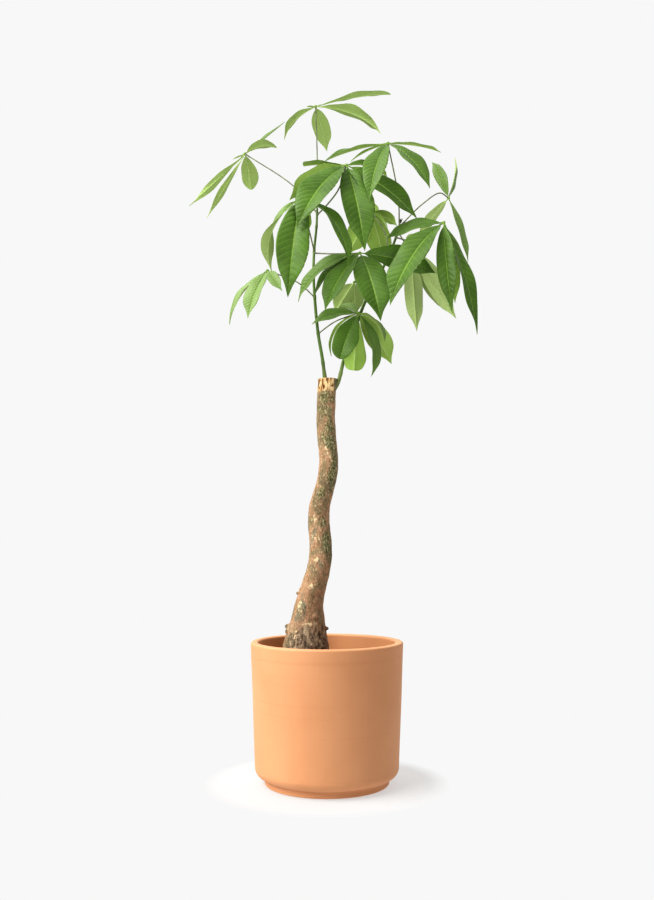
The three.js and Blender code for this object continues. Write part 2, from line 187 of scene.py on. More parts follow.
def bark_material():
    """Tan bark. The mesh says where algae, scars and the corky foot are."""
    n = Nodes("bark")
    place = n.add("SeparateXYZ", Vector=n.place()).outputs
    streaked = n.stretched((1, 1, 0.5))
    fine = n.noise(420, 5, n.stretched((1, 1, 0.6)))
    bark = n.ramp(
        n.noise(40, 5, streaked, 0.5),
        (0.36, linear(122, 114, 90)),
        (0.46, linear(158, 136, 106)),
        (0.56, linear(188, 150, 120)),
        (0.68, linear(146, 138, 114)),
    )
    algae = n.ramp(
        fine, (0.38, linear(74, 78, 50)), (0.5, linear(122, 126, 88)), (0.62, linear(176, 164, 128))
    )
    ragged = n.math("ADD", n.attribute("moss"), n.math("MULTIPLY", n.noise(110, 6), 2.6))
    green = n.math("MULTIPLY", n.mask(ragged, 1.6, 2.1), 0.8)
    bark = n.mix(green, bark, algae)
    fibres = n.ramp(
        n.noise(210, 6, n.stretched((1, 1, 0.4))),
        (0.36, linear(84, 70, 60)),
        (0.5, linear(148, 128, 110)),
        (0.66, linear(206, 186, 160)),
    )
    bark = n.mix(n.math("MULTIPLY", n.attribute("cork"), 0.9), bark, fibres)
    dark = n.math("MULTIPLY", n.mask(fine, 0.46, 0.36), 0.5)
    bark = n.mix(dark, bark, linear(92, 74, 56))
    bright = n.math("MULTIPLY", n.mask(fine, 0.59, 0.68), 0.5)
    bark = n.mix(bright, bark, linear(236, 218, 186))
    pores = n.mask(n.voronoi(150, n.stretched((1, 1, 0.7))), 0.2, 0.12)
    bark = n.mix(n.math("MULTIPLY", pores, 0.5), bark, linear(226, 206, 172))
    torn = n.math("ADD", n.attribute("scar"), n.math("MULTIPLY", n.noise(260, 5), 3.0))
    scar = n.math("MULTIPLY", n.mask(torn, 2.15, 2.5), 0.9)
    bark = n.mix(scar, bark, linear(236, 214, 174))
    chips = n.math("MULTIPLY", n.noise(240, 3, n.stretched((1, 1, 0.3))), 0.012)
    height = n.math("ADD", place["Z"], chips)
    peeled = n.math("MULTIPLY", n.mask(height, 0.6445, 0.647), n.mask(place["X"], 0.0125, 0.0105))
    wood = n.ramp(
        n.noise(230, 4, n.stretched((1, 1, 0.5))),
        (0.40, linear(112, 78, 48)),
        (0.46, linear(196, 160, 112)),
        (0.58, linear(234, 206, 160)),
    )
    bark = n.mix(peeled, bark, wood)
    n.bump(n.math("ADD", fine, n.noise(150, 6, streaked)), 0.5, 0.0012)
    return n.finish(bark, 0.9, 0.25)


def cut_wood_material():
    n = Nodes("cut_wood")
    wood = n.ramp(
        n.noise(130, 5),
        (0.32, linear(112, 80, 50)),
        (0.5, linear(198, 160, 112)),
        (0.7, linear(226, 198, 152)),
    )
    n.bump(n.noise(300, 4), 0.7, 0.001)
    return n.finish(wood, 0.9, 0.2)


def shoot_material():
    n = Nodes("green_shoot")
    height = n.add("SeparateXYZ", Vector=n.place()).outputs["Z"]
    skin = n.ramp(
        n.noise(60, 4, n.stretched((1, 1, 0.3))),
        (0.35, linear(84, 108, 52)),
        (0.65, linear(116, 144, 74)),
    )
    woody = n.math("MULTIPLY", n.mask(height, 0.70, 0.66), 0.35)
    skin = n.mix(woody, skin, linear(140, 132, 92))
    flecks = n.math("MULTIPLY", n.mask(n.voronoi(500), 0.2, 0.1), 0.4)
    skin = n.mix(flecks, skin, linear(176, 186, 134))
    n.bump(n.noise(350, 3, n.stretched((1, 1, 0.2))), 0.3, 0.0005)
    return n.finish(skin, 0.5)


def petiole_material():
    n = Nodes("petiole")
    skin = n.ramp(
        n.noise(90, 3),
        (0.35, linear(100, 104, 84)),
        (0.65, linear(134, 142, 104)),
    )
    n.bump(n.noise(500, 2), 0.2, 0.0003)
    return n.finish(skin, 0.5)


def bud_material():
    n = Nodes("bud")
    skin = n.ramp(n.noise(300, 3), (0.35, linear(52, 58, 28)), (0.65, linear(84, 96, 44)))
    n.bump(n.noise(800, 2), 0.3, 0.0003)
    return n.finish(skin, 0.7)


def leaf_material(name, dark, light, pale, vein, roughness):
    """One side of the blades. The mesh gives the vein pattern: vein counts the side veins along
    the blade, across is 0 at the midrib and 1 at the edge, and the pale share mixes in the pale colour, a
    painted glow for backlit and washed-out leaflets."""
    n = Nodes(name)
    blade = n.ramp(n.noise(28, 4), (0.32, dark), (0.68, light))
    # painted glow: the per-point pale share mixes in the pale colour, standing in for backlight and
    # washed-out light
    blade = n.mix(n.attribute("tone"), blade, pale)
    across = n.attribute("across")
    wave = n.math("ABSOLUTE", n.math("SINE", n.math("MULTIPLY", n.attribute("vein"), math.pi)))
    side_vein = n.math("MULTIPLY", n.mask(wave, 0.2, 0.0), n.mask(across, 1.0, 0.7))
    midrib = n.mask(across, 0.07, 0.02)
    lines = n.math("MAXIMUM", n.math("MULTIPLY", side_vein, 0.42), n.math("MULTIPLY", midrib, 0.85))
    blade = n.mix(lines, blade, vein)
    edge = n.math("MULTIPLY", n.mask(across, 0.93, 1.0), 0.35)
    blade = n.mix(edge, blade, vein)
    sunk = n.math("MULTIPLY", n.mask(wave, 0.0, 0.5), 1.2)
    n.bump(n.math("ADD", sunk, n.math("MULTIPLY", n.noise(180, 2), 0.3)), 0.3, 0.0006)
    return n.finish(blade, roughness, 0.22)


TERRACOTTA = terracotta_material()
SOIL = soil_material()
BARK = bark_material()
CUT_WOOD = cut_wood_material()
SHOOT = shoot_material()
PETIOLE = petiole_material()
BUD = bud_material()
# Each side: dark and light blade colours, the pale colour (a painted glow mixed in by the pale share), the
# vein colour, roughness.
LEAF_UPPER = leaf_material(
    "leaf_upper", linear(56, 88, 18), linear(82, 118, 34), linear(140, 164, 104),
    linear(142, 172, 88), 0.42,
)
# The underside colours are the blades' own lighter underside and also painted glow: they are raised to stand
# in for light shining through the leaf.
LEAF_UNDER = leaf_material(
    "leaf_underside", linear(142, 172, 76), linear(158, 188, 94), linear(172, 190, 130),
    linear(192, 210, 144), 0.6,
)



# ---------------------------------------------------------------- mesh helpers
def add_object(name, points, faces, materials, indices=None, **values):
    """A mesh object. indices gives each face its material, values are named per-point numbers."""
    mesh = bpy.data.meshes.new(name)
    mesh.from_pydata(np.asarray(points).tolist(), [], faces)
    for material in materials:
        mesh.materials.append(material)
    if indices is not None:
        mesh.polygons.foreach_set("material_index", indices)
    mesh.polygons.foreach_set("use_smooth", [True] * len(mesh.polygons))
    for key, numbers in values.items():
        attribute = mesh.attributes.new(key, "FLOAT", "POINT")
        attribute.data.foreach_set("value", np.asarray(numbers, np.float32))
    mesh.update()
    thing = bpy.data.objects.new(name, mesh)
    bpy.context.scene.collection.objects.link(thing)
    return thing


def stand_for(thing, node):
    """The piece is shown instead of the CAD node, which is hidden."""
    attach(thing, BODY)
    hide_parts(node)


def ring_faces(rows, sides, start=0, flip=False):
    """Quads between rings of points that follow each other."""
    faces = []
    for row in range(rows - 1):
        for side in range(sides):
            here = start + row * sides + side
            beside = start + row * sides + (side + 1) % sides
            quad = (here, beside, beside + sides, here + sides)
            faces.append(quad[::-1] if flip else quad)
    return faces


def unit(vector):
    vector = np.asarray(vector, float)
    return vector / np.linalg.norm(vector)


def smoothstep(low, high, value):
    share = np.clip((np.asarray(value, float) - low) / (high - low), 0, 1)
    return share * share * (3 - 2 * share)


def turned(vector, axis, angle):
    """A vector turned about a unit axis."""
    cosine, sine = math.cos(angle), math.sin(angle)
    return vector * cosine + np.cross(axis, vector) * sine + axis * (axis @ vector) * (1 - cosine)


def smooth_path(points, count):
    """A centripetal curve through the points, the one the CAD's stems follow."""
    points = np.asarray(points, float)
    full = np.vstack([2 * points[0] - points[1], points, 2 * points[-1] - points[-2]])
    places = np.linspace(0, len(points) - 1, count)
    path = []
    for place in places:
        index = min(int(place), len(points) - 2)
        share = place - index
        before, start, end, after = full[index:index + 4]
        gaps = [np.linalg.norm(b - a) ** 0.5 for a, b in ((before, start), (start, end), (end, after))]
        leave = (start - before) / gaps[0] - (end - before) / (gaps[0] + gaps[1])
        leave = (leave + (end - start) / gaps[1]) * gaps[1]
        arrive = (end - start) / gaps[1] - (after - start) / (gaps[1] + gaps[2])
        arrive = (arrive + (after - end) / gaps[2]) * gaps[1]
        square = 3 * (end - start) - 2 * leave - arrive
        cube = 2 * (start - end) + leave + arrive
        path.append(start + share * (leave + share * (square + share * cube)))
    return np.array(path)


def rough(place, size, octaves=3):
    """Smooth noise around 0, for a point in millimetres and lumps about size wide."""
    return noise.fractal(Vector(place) / size, 1.0, 2.0, octaves)


def tube(path, radii, sides):
    """Rings square to a path, closed by a point at each end."""
    steps = np.gradient(path, axis=0)
    steps /= np.linalg.norm(steps, axis=1)[:, None]
    out = unit(np.cross(steps[0], (0.3, 0.9, 0.1)))
    rings = []
    for centre, ahead, radius in zip(path, steps, radii):
        out = unit(out - ahead * (out @ ahead))
        beside = np.cross(ahead, out)
        angles = np.arange(sides) / sides * math.tau
        ring = centre + radius * (np.outer(np.cos(angles), out) + np.outer(np.sin(angles), beside))
        rings.append(ring)
    first_end = path[:1] - steps[:1] * radii[0] * 0.5
    last_end = path[-1:] + steps[-1:] * radii[-1] * 0.5
    points = np.vstack([*rings, first_end, last_end])
    faces = ring_faces(len(path), sides)
    last = (len(path) - 1) * sides
    first_tip, last_tip = len(path) * sides, len(path) * sides + 1
    for side in range(sides):
        beside = (side + 1) % sides
        faces.append((first_tip, beside, side))
        faces.append((last_tip, last + side, last + beside))
    return points, faces


# ---------------------------------------------------------------- pot
POT_HEIGHT = 226
POT_RIM_RADIUS = 125
POT_HEEL_RADIUS = 117
POT_FOOT_RADIUS = 101
POT_FOOT_HEIGHT = 11
POT_CORNER = 16
POT_WALL = 12.5
POT_FLOOR = 14
POT_LIP = 3.5
DRAIN_RADIUS = 14
SOIL_TOP = 188
SOIL_MOUND = 4
GAP = 0.3

INNER_RIM = POT_RIM_RADIUS - POT_WALL
INNER_HEEL = POT_HEEL_RADIUS - POT_WALL
FLOOR_TOP = POT_FOOT_HEIGHT + POT_FLOOR
HEEL_TOP = POT_FOOT_HEIGHT + POT_CORNER


def inner_radius(height):
    share = (height - HEEL_TOP) / (POT_HEIGHT - HEEL_TOP)
    return INNER_HEEL + (INNER_RIM - INNER_HEEL) * share


def arc(centre, radii, start, end, steps):
    angles = np.radians(np.linspace(start, end, steps + 1))
    return [(centre[0] + math.cos(a) * radii[0], centre[1] + math.sin(a) * radii[1]) for a in angles]


def filled(outline, longest):
    """The outline with more points on its long straight runs."""
    dense = []
    for (r0, z0), (r1, z1) in zip(outline, outline[1:]):
        pieces = max(1, math.ceil(math.hypot(r1 - r0, z1 - z0) / longest))
        dense += [(r0 + (r1 - r0) * i / pieces, z0 + (z1 - z0) * i / pieces) for i in range(pieces)]
    return dense + [outline[-1]]


def make_pot():
    corner = POT_HEEL_RADIUS - POT_FOOT_RADIUS
    inside = 10
    foot_inside = inner_radius(FLOOR_TOP + inside)
    outline = [
        (DRAIN_RADIUS, 1), (DRAIN_RADIUS + 1, 0), (POT_FOOT_RADIUS - 3, 0),
        *arc((POT_FOOT_RADIUS - 2, 2), (2, 2), -90, 0, 5),
        (POT_FOOT_RADIUS, POT_FOOT_HEIGHT - 1),
        (POT_FOOT_RADIUS + 1.2, POT_FOOT_HEIGHT),
        *arc((POT_FOOT_RADIUS, HEEL_TOP), (corner, POT_CORNER), -75, 0, 14),
        *arc((POT_RIM_RADIUS - POT_LIP, POT_HEIGHT - POT_LIP), (POT_LIP, POT_LIP), 0, 90, 8),
        *arc((INNER_RIM + POT_LIP, POT_HEIGHT - POT_LIP), (POT_LIP, POT_LIP), 90, 180, 8),
        *arc((foot_inside - inside, FLOOR_TOP + inside), (inside, inside), 0, -90, 8),
        (DRAIN_RADIUS + 1, FLOOR_TOP), (DRAIN_RADIUS, FLOOR_TOP - 1),
    ]
    outline = filled([*outline, outline[0]], 5)[:-1]
    sides = 176
    points = []
    for radius, height in outline:
        for side in range(sides):
            angle = side / sides * math.tau
            x, y = math.cos(angle), math.sin(angle)
            ripple = 0.10 * noise.noise(Vector((0.3 * x, 0.3 * y, height / 4)))
            sag = 0.35 * noise.noise(Vector((x, y, height / 90)))
            away = radius + (ripple + sag) * smoothstep(0, 12, height)
            points.append((x * away, y * away, height))
    faces = ring_faces(len(outline), sides)
    last = (len(outline) - 1) * sides
    for side in range(sides):
        beside = (side + 1) % sides
        faces.append((last + side, last + beside, beside, side))
    pot = add_object("terracotta_pot", np.array(points) * MM, faces, [TERRACOTTA])
    stand_for(pot, "pot")


# ---------------------------------------------------------------- trunk
TRUNK = [
    ((-34, 2, 110), 24), ((-35, 2, 150), 36), ((-35, 1, 185), 41), ((-35, 0, 215), 38.5),
    ((-34, 0, 240), 33), ((-32, -1, 262), 27.5), ((-29, -3, 290), 23), ((-20, -4, 322), 20.5),
    ((-13, -4, 350), 19.5), ((-10, -1, 376), 18.5), ((-12, 3, 400), 18.3), ((-14, 5, 428), 17.7),
    ((-12, 3, 450), 17.5), ((-5, 0, 474), 16.8), ((1, -3, 500), 16), ((3, -3, 526), 15.4),
    ((0, 0, 560), 15.8), ((-2, 2, 600), 15.4), ((-1, 1, 636), 16), ((1, 0, 662), 16.2),
]
TRUNK_ROWS = 430
TRUNK_SIDES = 110
# dry stubs of old roots and shoots: bearing in degrees (-90 faces front), height, length, width
STUBS = [
    (-178, 251, 6, 3.4), (-172, 244, 3, 5), (-171, 305, 4, 2.6), (-164, 312, 2, 3),
    (-8, 247, 5, 3.2), (-60, 268, 2.5, 5), (40, 262, 4, 4), (110, 300, 3, 4), (150, 420, 2, 4),
    (-120, 283, 1.6, 8), (75, 520, 1.8, 5),
]
# grey-green algae on the bark: bearing, height, half width in degrees, half height, strength
MOSS = [
    (-84, 628, 60, 11, 1.0), (-95, 607, 50, 10, 0.8), (-66, 582, 34, 14, 0.9),
    (-84, 556, 40, 13, 1.0), (-52, 532, 26, 30, 0.9), (-62, 500, 26, 20, 1.0),
    (-40, 470, 30, 16, 0.6), (-98, 470, 22, 8, 0.9), (-66, 420, 26, 9, 1.0),
    (-48, 386, 26, 24, 0.9), (-60, 345, 20, 10, 0.5), (60, 600, 60, 40, 0.7),
    (100, 480, 50, 40, 0.7), (150, 560, 40, 30, 0.5), (30, 380, 40, 40, 0.7),
]
# pale scars and flaking cork: bearing, height, half width in degrees, half height, strength
SCARS = [
    (-96, 538, 16, 6, 1.0), (-78, 530, 10, 5, 0.9), (-104, 545, 8, 4, 1.0), (-88, 518, 7, 4, 0.8),
    (-118, 424, 22, 7, 0.8), (-112, 395, 26, 8, 0.7), (-108, 359, 12, 5, 1.0),
    (-104, 317, 14, 5, 1.0), (-128, 287, 10, 8, 0.9), (-120, 276, 10, 4, 1.0),
    (-84, 256, 34, 2.2, 1.0), (-122, 242, 6, 12, 0.8), (-128, 222, 4, 8, 0.7),
    (20, 330, 20, 8, 0.7), (90, 560, 20, 8, 0.7), (120, 380, 24, 10, 0.7), (160, 260, 20, 8, 0.7),
]


def marked(bearing, height, marks):
    """How strongly a place on the trunk lies in one of the marks, 0 to 1."""
    strongest = 0
    for centre, level, half_width, half_height, strength in marks:
        turn = (bearing - centre + 180) % 360 - 180
        far = (turn / half_width) ** 2 + ((height - level) / half_height) ** 2
        strongest = max(strongest, strength * math.exp(-far * far * 0.7))
    return strongest


def make_trunk():
    path = smooth_path([place for place, _ in TRUNK], TRUNK_ROWS)
    heights = [place[2] for place, _ in TRUNK]
    radii = np.interp(path[:, 2], heights, [radius for _, radius in TRUNK])
    radii = np.convolve(np.pad(radii, 6, "edge"), np.ones(13) / 13, "valid")
    points, moss, scars, cork = [], [], [], []
    for (x, y, z), radius in zip(path, radii):
        base = 1 - smoothstep(236, 268, z)
        for side in range(TRUNK_SIDES):
            bearing = side / TRUNK_SIDES * 360 - 180
            angle = math.radians(bearing)
            across, deep = math.cos(angle), math.sin(angle)
            place = (x + across * radius, y + deep * radius, z)
            long_place = (place[0], place[1], z * 0.35)
            front = 1 - smoothstep(35, 70, abs((bearing + 70 + 180) % 360 - 180))
            corky = base * (0.35 + 0.65 * front)
            bump = 0.9 * rough(place, 26, 2) + 0.38 * rough(long_place, 6) + 0.22 * rough(place, 2.4)
            bump += corky * (1.1 * rough(long_place, 4, 4) + 0.5 * abs(rough(place, 9, 2)))
            scar = marked(bearing, z, SCARS)
            bump += 0.45 * scar * (0.4 + rough(place, 3))
            for centre, level, length, width in STUBS:
                turn = math.radians((bearing - centre + 180) % 360 - 180) * radius
                far = (turn * turn + (z - level) ** 2) / (width * width)
                if far < 9:
                    bump += length * math.exp(-far * far)
            chipped = smoothstep(639, 642, z + 2 * rough((across * 9, deep * 9, 0), 3))
            bump += chipped * (0.9 * rough((place[0], place[1], z * 0.2), 3.2, 3) - 0.5)
            away = radius + bump
            points.append((x + across * away, y + deep * away, z))
            moss.append(marked(bearing, z, MOSS))
            scars.append(scar)
            cork.append(corky)
    faces = ring_faces(TRUNK_ROWS, TRUNK_SIDES)
    indices = [0] * len(faces)
    faces.append(tuple(range(TRUNK_SIDES))[::-1])
    indices.append(0)
    start = (TRUNK_ROWS - 1) * TRUNK_SIDES
    (x, y, z), cut_radius = path[-1], radii[-1]
    for share in (0.97, 0.9, 0.78, 0.64, 0.5, 0.36, 0.22, 0.1):
        for side in range(TRUNK_SIDES):
            angle = math.radians(side / TRUNK_SIDES * 360 - 180)
            away = cut_radius * share
            spot = (x + math.cos(angle) * away, y + math.sin(angle) * away, z)
            points.append((*spot[:2], z + 0.5 * rough(spot, 3) - 0.4 * (1 - share)))
            moss.append(0)
            scars.append(0)
            cork.append(0)
    top = ring_faces(9, TRUNK_SIDES, start)
    faces += top
    indices += [1] * len(top)
    faces.append(tuple(range(len(points) - TRUNK_SIDES, len(points))))
    indices.append(1)
    trunk = add_object(
        "woody_trunk", np.array(points) * MM, faces, [BARK, CUT_WOOD], indices,
        moss=moss, scar=scars, cork=cork,
    )
    stand_for(trunk, "trunk")


# ---------------------------------------------------------------- soil
def trunk_at(height):
    heights = [place[2] for place, _ in TRUNK]
    x, y = (np.interp(height, heights, [place[axis] for place, _ in TRUNK]) for axis in (0, 1))
    return x, y, np.interp(height, heights, [radius for _, radius in TRUNK])


def make_soil():
    sides = 132
    centre_x, centre_y, trunk_radius = trunk_at(SOIL_TOP)
    wall = inner_radius(SOIL_TOP) - GAP
    bottom = FLOOR_TOP + GAP
    rings = 30
    points = []
    for ring in range(rings + 1):
        share = ring / rings
        for side in range(sides):
            angle = side / sides * math.tau
            across, deep = math.cos(angle), math.sin(angle)
            inner = trunk_radius - 3
            start = np.array((centre_x + across * inner, centre_y + deep * inner))
            end = np.array((across, deep)) * wall
            x, y = start + (end - start) * share
            mound = SOIL_MOUND * (1 - smoothstep(0.6, 1, math.hypot(x, y) / wall))
            crumbs = 2.2 * rough((x, y, 0), 14, 2) + 1.8 * abs(rough((x, y, 5), 5, 4))
            z = SOIL_TOP + mound + crumbs * smoothstep(1, 0.95, share) - 1
            points.append((x, y, z))
    halfway, corner = 110, FLOOR_TOP + 14
    skirt = [(wall, SOIL_TOP - 3)]
    skirt += [(inner_radius(height) - GAP, height) for height in (halfway, corner)]
    skirt += [(inner_radius(FLOOR_TOP) - 12, bottom), (2, bottom)]
    for radius, height in skirt:
        for side in range(sides):
            angle = side / sides * math.tau
            points.append((math.cos(angle) * radius, math.sin(angle) * radius, height))
    faces = ring_faces(rings + 1 + len(skirt), sides, flip=True)
    faces.append(tuple(range(sides)))
    faces.append(tuple(range(len(points) - sides, len(points)))[::-1])
    soil = add_object("potting_soil", np.array(points) * MM, faces, [SOIL])
    stand_for(soil, "soil")


# ---------------------------------------------------------------- shoots, bud and petioles
SHOOTS = {
    "left": {
        "foot": 3.2,
        "top": 2,
        "path": [
            (-2, 0, 652), (-8, 0, 698), (-15, 0, 740), (-21, 0, 803),
            (-23, 0, 846), (-22, 0, 884), (-18, 0, 927), (-17, 5, 960),
        ],
        "nodes": (690, 740, 803, 846, 884, 927, 952),
    },
    "right": {
        "foot": 3.6,
        "top": 2.2,
        "path": [
            (10, 1, 640), (20, 2, 661), (29, 2, 697), (53, 2, 765), (66, 3, 798),
            (87, 6, 838), (107, 10, 880), (118, 15, 909), (127, 15, 936),
        ],
        "nodes": (672, 720, 765, 800, 836, 880, 914, 928),
    },
}
BUD_FOOT = (127, 15, 936.6)
BUD_SCALES = 3
BUD_LENGTH = 9
BUD_RADIUS = 1.8
BUD_SPREAD = 24


def make_shoot(place, shoot):
    path = smooth_path(shoot["path"], 260)
    share = np.linspace(0, 1, len(path))
    radii = shoot["foot"] + (shoot["top"] - shoot["foot"]) * share
    for level in shoot["nodes"]:
        far = (path[:, 2] - level) / 3.2
        radii = radii + 0.45 * np.exp(-far * far)
    collar = (path[:, 2] - path[0, 2] - 14) / 9
    radii = 0.9 * radii + 0.7 * np.exp(-collar * collar)
    points, faces = tube(path, radii, 20)
    shoot = add_object(f"green_shoot_{place}", points * MM, faces, [SHOOT])
    stand_for(shoot, f"shoot_{place}")


def make_bud():
    foot = np.array(BUD_FOOT) + (0, 0, BUD_RADIUS)
    points, faces = [], []
    lean = math.radians(BUD_SPREAD)
    parts = [(0, 0.04, 0.8, 1.15)]
    parts += [(turn / BUD_SCALES * math.tau, lean, 1.0, 0.8) for turn in range(BUD_SCALES)]
    parts += [((turn + 0.5) / BUD_SCALES * math.tau, lean * 0.5, 0.9, 0.7) for turn in range(BUD_SCALES)]
    for bearing, tilt, reach, girth in parts:
        level = math.sin(tilt)
        ahead = np.array((level * math.cos(bearing), level * math.sin(bearing), math.cos(tilt)))
        bend = np.array((math.cos(bearing), math.sin(bearing), 0.0))
        share = np.linspace(0, 1, 16)
        path = foot + np.outer(share * BUD_LENGTH * reach, ahead) + np.outer(share ** 2 * 0.7, bend)
        radii = BUD_RADIUS * girth * (1.02 - share) ** 0.7 * (0.75 + 0.5 * np.sin(share * math.pi))
        skin, sides = tube(path, radii, 12)
        faces += [tuple(index + len(points) for index in face) for face in sides]
        points += list(skin)
    bud = add_object("terminal_bud", np.array(points) * MM, faces, [BUD])
    stand_for(bud, "bud")


def make_petiole(place, leaf):
    path = smooth_path(leaf["petiole"]["path"], 130)
    share = np.linspace(0, 1, len(path))
    radius = leaf["petiole"]["radius"]
    radii = radius * (0.82 + 0.5 * np.exp(-(share / 0.05) ** 2) + 0.5 * np.exp(-((1 - share) / 0.04) ** 2))
    points, faces = tube(path, radii, 14)
    petiole = add_object(f"stalk_{place}", points * MM, faces, [PETIOLE])
    stand_for(petiole, f"petiole_{place}")
